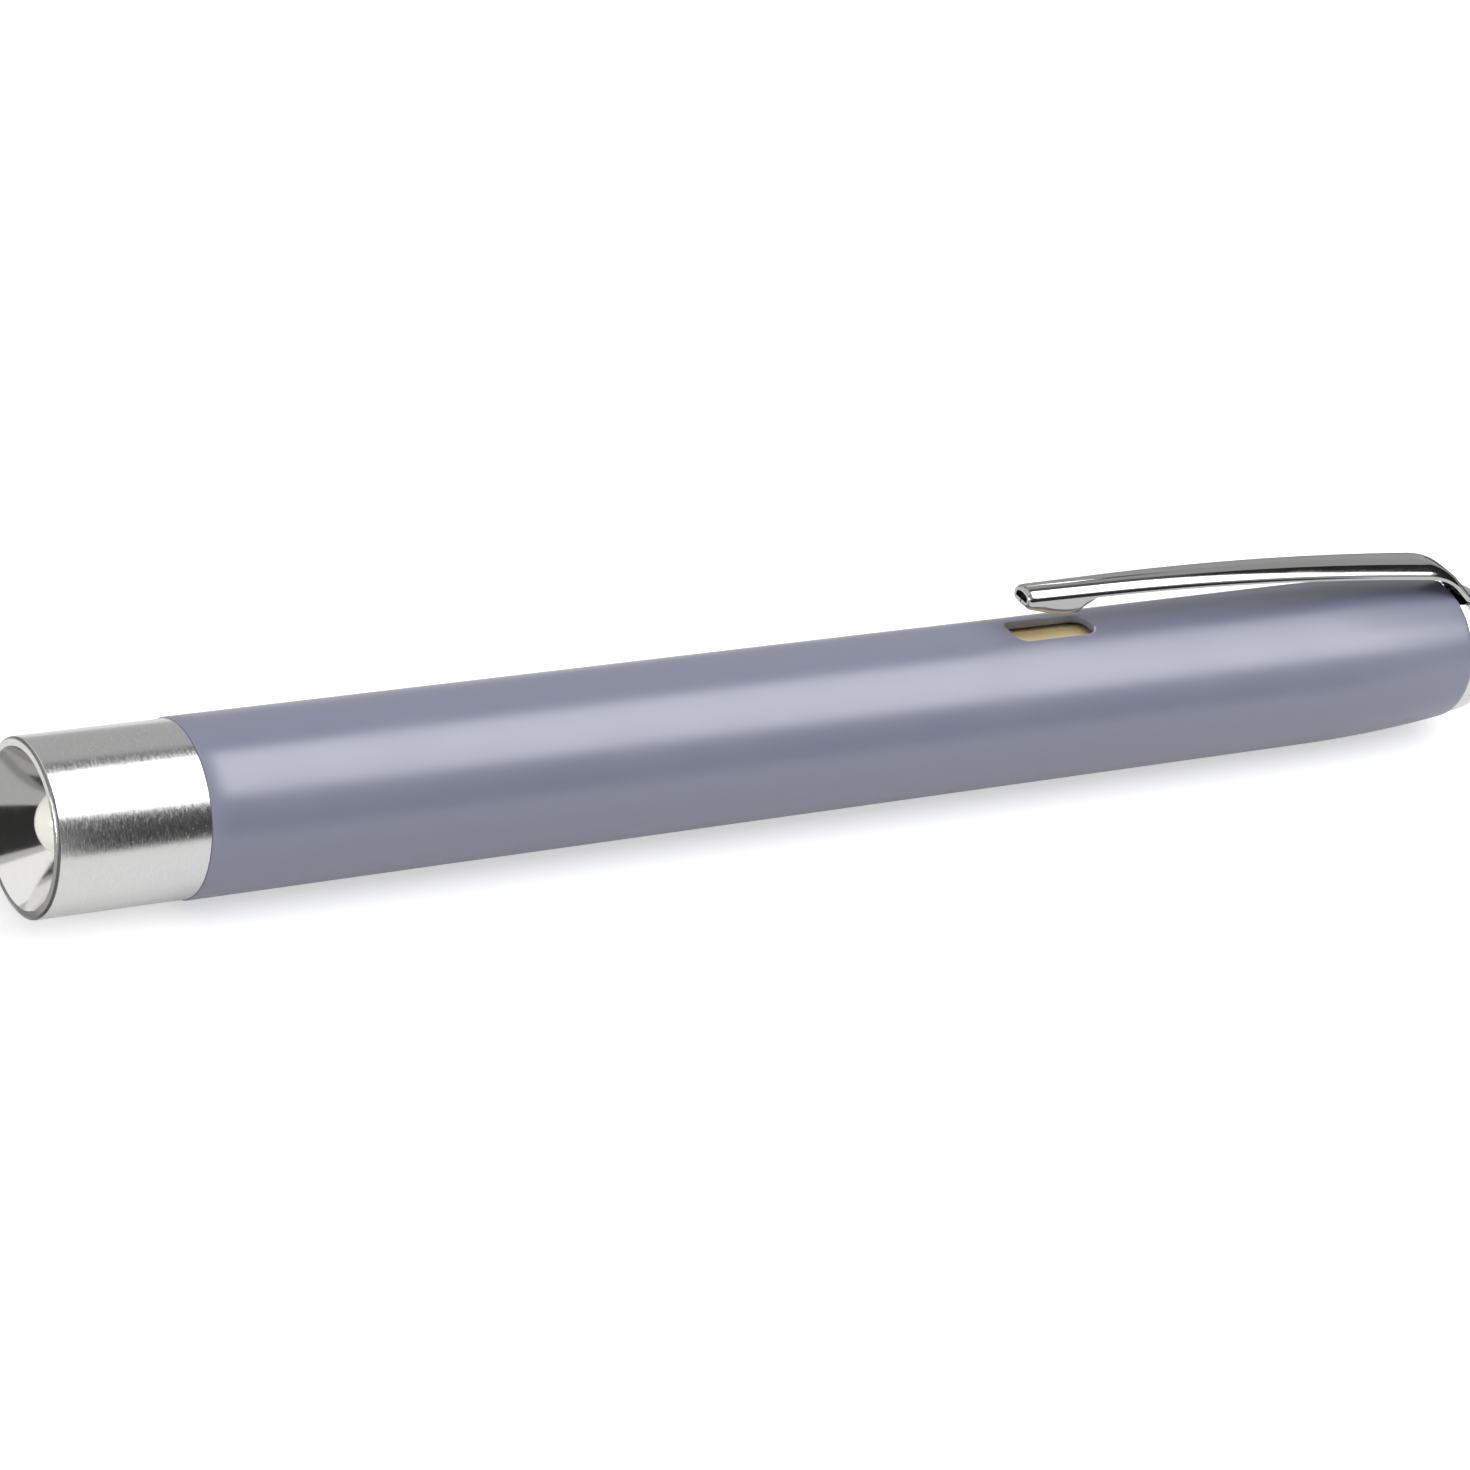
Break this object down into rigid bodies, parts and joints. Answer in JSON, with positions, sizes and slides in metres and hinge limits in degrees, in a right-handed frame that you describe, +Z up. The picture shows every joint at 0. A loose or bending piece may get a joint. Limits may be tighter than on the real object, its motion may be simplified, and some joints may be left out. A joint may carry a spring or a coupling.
{
  "type": "penlight",
  "caption": "Slim clip-switch penlight: lacquered battery barrel, screw-on turned lamp head with a conical reflector, domed tail cap, and a pressed clip that bends to close the circuit.",
  "frame": {"origin": "under the middle of the pen's length, on the line where the lying barrel touches the ground", "axes": "+X along the pen from the lamp to the tail cap, +Y across, +Z up out of the side that carries the clip"},
  "size_m": [0.1314, 0.013, 0.0168],
  "materials": {
    "turned_metal": "bright, with fine turning marks",
    "epoxy": "clear cast epoxy",
    "lead_frame": "bright tinned",
    "phosphor": "matt yellow phosphor",
    "white_plastic": "plain moulded",
    "brass": "turned",
    "cell_can": "nickel-plated",
    "cell_label": "plain shrink sleeve",
    "cell_seal": "moulded",
    "cell_plate": "nickel-plated",
    "lacquer": "semi-gloss blue-grey lacquer",
    "fibre": "rolled fibre",
    "brass_strip": "dull rolled",
    "spring_wire": "nickel-plated",
    "plug_metal": "turned",
    "clip_chrome": "plated pressed steel"
  },
  "bodies": {
    "barrel": {"barrel": "lacquer", "insulating_sleeve": "fibre", "contact_strip": "brass_strip", "spring_seat": "white_plastic", "tail_spring": "spring_wire", "tail_plug": "plug_metal", "clip_ring": "clip_chrome", "tail_cap": "turned_metal"},
    "clip": {"clip_arm": "clip_chrome"},
    "cells": {"front_cell_can": "cell_can", "front_cell_label": "cell_label", "front_cell_seal": "cell_seal", "front_cell_plate": "cell_plate", "rear_cell_can": "cell_can", "rear_cell_label": "cell_label", "rear_cell_seal": "cell_seal", "rear_cell_plate": "cell_plate"},
    "head": {"reflector_head": "turned_metal", "led_lens": "epoxy", "led_cathode": "lead_frame", "led_anode": "lead_frame", "led_chip": "phosphor", "led_holder": "white_plastic", "centre_contact": "brass", "retaining_ring": "brass"}
  },
  "joints": [
    {"name": "clip_press", "type": "hinge", "parent": "barrel", "child": "clip", "pos_m": [0.0555, 0, 0.01471], "axis": [0, -1, 0], "range_deg": [-4, 3.6], "stiffness_Nm_per_rad": 2.4},
    {"name": "cells_slide", "type": "slide", "parent": "barrel", "child": "cells", "axis": [-1, 0, 0], "range_m": [0, 0.0045], "deforming": ["tail_spring"]},
    {"name": "head_turn", "type": "hinge", "parent": "cells", "child": "head", "pos_m": [-0.05422, 0, 0.0065], "axis": [-1, 0, 0], "range_deg": [0, 2160]}
  ],
  "couplings": [
    {"joint": "head_turn", "follows": "cells_slide", "rad_per_m": 8377.6}
  ]
}
